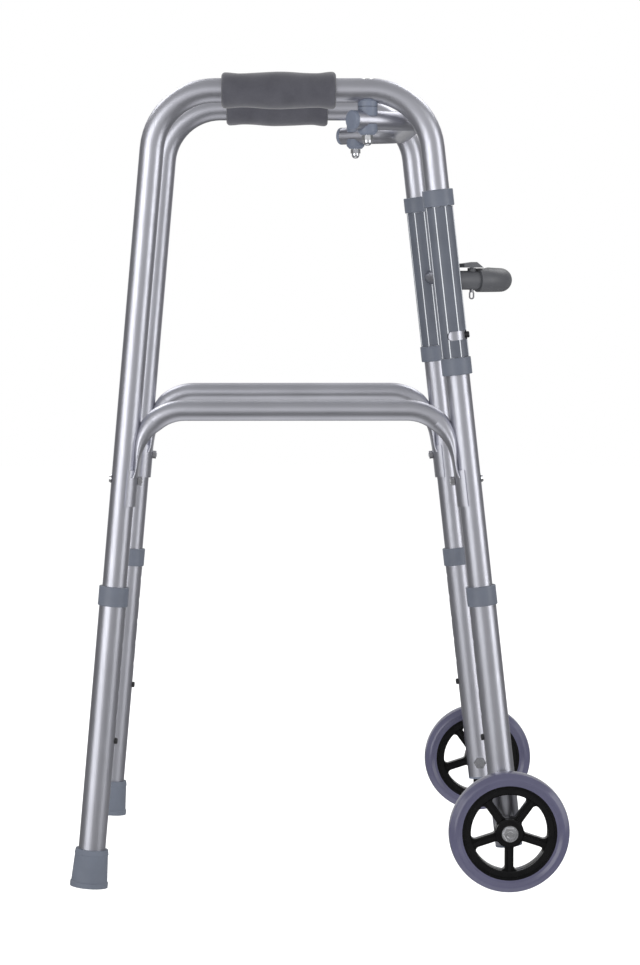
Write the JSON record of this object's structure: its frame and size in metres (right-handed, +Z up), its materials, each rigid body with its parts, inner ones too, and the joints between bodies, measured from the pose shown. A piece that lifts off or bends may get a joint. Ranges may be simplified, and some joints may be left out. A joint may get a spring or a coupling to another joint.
{
  "type": "two-wheeled folding walking frame",
  "caption": "Folding walking frame with front wheels, foam hand grips, telescopic legs, side braces, front bow and a telescopic locking crossbar.",
  "frame": {"origin": "on the floor, under the centre of the whole frame", "axes": "+X forward towards the wheels, +Y to the user's left, +Z up"},
  "size_m": [0.5245, 0.573, 0.8555],
  "materials": {
    "satin_tube": "satin anodised",
    "bright_steel": "zinc plated",
    "dark_steel": "dark plated",
    "grip_foam": "closed-cell foam",
    "sleeve_plastic": "moulded, fine ribs",
    "collar_plastic": "moulded",
    "cradle_plastic": "moulded",
    "cover_plastic": "moulded",
    "tip_rubber": "matt rubber",
    "tyre_grey": "non-marking grey",
    "rim_black": "moulded black",
    "button_black": "black"
  },
  "bodies": {
    "front_bow": {"front_bow_tube": "satin_tube", "bow_plugs": "cradle_plastic", "bow_cradles": "cradle_plastic", "under_cradles": "cradle_plastic"},
    "right_frame": {"right_side_tube": "satin_tube", "right_side_brace": "satin_tube", "right_brace_bolts": "bright_steel", "right_brace_nuts": "dark_steel", "right_hand_grip": "grip_foam", "right_handle_cradle": "cradle_plastic", "right_pivot_bolt": "bright_steel", "right_pivot_nut": "bright_steel", "right_upper_collar": "collar_plastic", "right_lower_collar": "collar_plastic"},
    "right_sleeve": {"right_leg_sleeve": "sleeve_plastic", "right_crossbar_tube": "cover_plastic", "right_crossbar_cover": "cover_plastic", "right_crossbar_bush": "cradle_plastic"},
    "right_sleeve_snap": {"right_sleeve_button": "button_black"},
    "right_rear_extension": {"right_rear_leg": "satin_tube", "right_rear_collar": "collar_plastic", "right_rear_tip": "tip_rubber"},
    "right_rear_snap": {"right_rear_button": "button_black"},
    "right_front_extension": {"right_front_leg": "satin_tube", "right_front_collar": "collar_plastic", "right_front_plug": "cradle_plastic", "right_axle_bolt": "bright_steel", "right_axle_nut": "bright_steel"},
    "right_front_snap": {"right_front_button": "button_black"},
    "right_wheel": {"right_wheel_tyre": "tyre_grey", "right_wheel_rim": "rim_black", "right_wheel_bush": "bright_steel"},
    "left_frame": {"left_side_tube": "satin_tube", "left_side_brace": "satin_tube", "left_brace_bolts": "bright_steel", "left_brace_nuts": "dark_steel", "left_hand_grip": "grip_foam", "left_handle_cradle": "cradle_plastic", "left_pivot_bolt": "bright_steel", "left_pivot_nut": "bright_steel", "left_upper_collar": "collar_plastic", "left_lower_collar": "collar_plastic"},
    "left_sleeve": {"left_leg_sleeve": "sleeve_plastic", "left_crossbar_tube": "satin_tube"},
    "left_sleeve_snap": {"left_sleeve_button": "button_black"},
    "left_rear_extension": {"left_rear_leg": "satin_tube", "left_rear_collar": "collar_plastic", "left_rear_tip": "tip_rubber"},
    "left_rear_snap": {"left_rear_button": "button_black"},
    "left_front_extension": {"left_front_leg": "satin_tube", "left_front_collar": "collar_plastic", "left_front_plug": "cradle_plastic", "left_axle_bolt": "bright_steel", "left_axle_nut": "bright_steel"},
    "left_front_snap": {"left_front_button": "button_black"},
    "left_wheel": {"left_wheel_tyre": "tyre_grey", "left_wheel_rim": "rim_black", "left_wheel_bush": "bright_steel"},
    "right_lock": {"right_lock_pin": "dark_steel", "right_lock_tab": "cover_plastic"}
  },
  "joints": [
    {"name": "right_fold", "type": "hinge", "parent": "front_bow", "child": "right_frame", "pos_m": [0.0509, -0.235, 0.8052], "axis": [0, 0, -1], "range_deg": [0, 90]},
    {"name": "right_sleeve_turn", "type": "hinge", "parent": "right_frame", "child": "right_sleeve", "pos_m": [0.1341, -0.235, 0.639], "axis": [-0.1115, 0, 0.9938], "range_deg": [0, 90]},
    {"name": "right_sleeve_button_press", "type": "slide", "parent": "right_frame", "child": "right_sleeve_snap", "axis": [-0.99, 0.0872, -0.1111], "range_m": [0, 0.0045], "stiffness_N_per_m": 300, "springref_m": -0.003},
    {"name": "right_rear_length", "type": "slide", "parent": "right_frame", "child": "right_rear_extension", "axis": [-0.0887, 0, -0.9961], "range_m": [0, 0.127]},
    {"name": "right_rear_button_press", "type": "slide", "parent": "right_rear_extension", "child": "right_rear_snap", "axis": [-0.9961, 0, 0.0887], "range_m": [0, 0.0045], "stiffness_N_per_m": 300, "springref_m": -0.003},
    {"name": "right_front_length", "type": "slide", "parent": "right_frame", "child": "right_front_extension", "axis": [0.1115, 0, -0.9938], "range_m": [0, 0.127]},
    {"name": "right_front_button_press", "type": "slide", "parent": "right_front_extension", "child": "right_front_snap", "axis": [0.9938, 0, 0.1115], "range_m": [0, 0.0045], "stiffness_N_per_m": 300, "springref_m": -0.003},
    {"name": "right_wheel_spin", "type": "hinge", "parent": "right_front_extension", "child": "right_wheel", "pos_m": [0.19868, -0.266, 0.0635], "axis": [0, 1, 0], "continuous": true},
    {"name": "left_fold", "type": "hinge", "parent": "front_bow", "child": "left_frame", "pos_m": [0.0509, 0.235, 0.8052], "axis": [0, 0, 1], "range_deg": [0, 70]},
    {"name": "left_sleeve_turn", "type": "hinge", "parent": "left_frame", "child": "left_sleeve", "pos_m": [0.1341, 0.235, 0.639], "axis": [0.1115, 0, -0.9938], "range_deg": [0, 70]},
    {"name": "left_sleeve_button_press", "type": "slide", "parent": "left_frame", "child": "left_sleeve_snap", "axis": [-0.99, -0.0872, -0.1111], "range_m": [0, 0.0045], "stiffness_N_per_m": 300, "springref_m": -0.003},
    {"name": "left_rear_length", "type": "slide", "parent": "left_frame", "child": "left_rear_extension", "axis": [-0.0887, 0, -0.9961], "range_m": [0, 0.127]},
    {"name": "left_rear_button_press", "type": "slide", "parent": "left_rear_extension", "child": "left_rear_snap", "axis": [-0.9961, 0, 0.0887], "range_m": [0, 0.0045], "stiffness_N_per_m": 300, "springref_m": -0.003},
    {"name": "left_front_length", "type": "slide", "parent": "left_frame", "child": "left_front_extension", "axis": [0.1115, 0, -0.9938], "range_m": [0, 0.127]},
    {"name": "left_front_button_press", "type": "slide", "parent": "left_front_extension", "child": "left_front_snap", "axis": [0.9938, 0, 0.1115], "range_m": [0, 0.0045], "stiffness_N_per_m": 300, "springref_m": -0.003},
    {"name": "left_wheel_spin", "type": "hinge", "parent": "left_front_extension", "child": "left_wheel", "pos_m": [0.19868, 0.266, 0.0635], "axis": [0, 1, 0], "continuous": true},
    {"name": "lock_pin_lift", "type": "slide", "parent": "right_sleeve", "child": "right_lock", "axis": [0, 0, 1], "range_m": [0, 0.008], "stiffness_N_per_m": 300, "springref_m": -0.004}
  ],
  "couplings": [
    {"joint": "right_sleeve_turn", "follows": "right_fold", "ratio": 1},
    {"joint": "left_sleeve_turn", "follows": "left_fold", "ratio": 1}
  ]
}
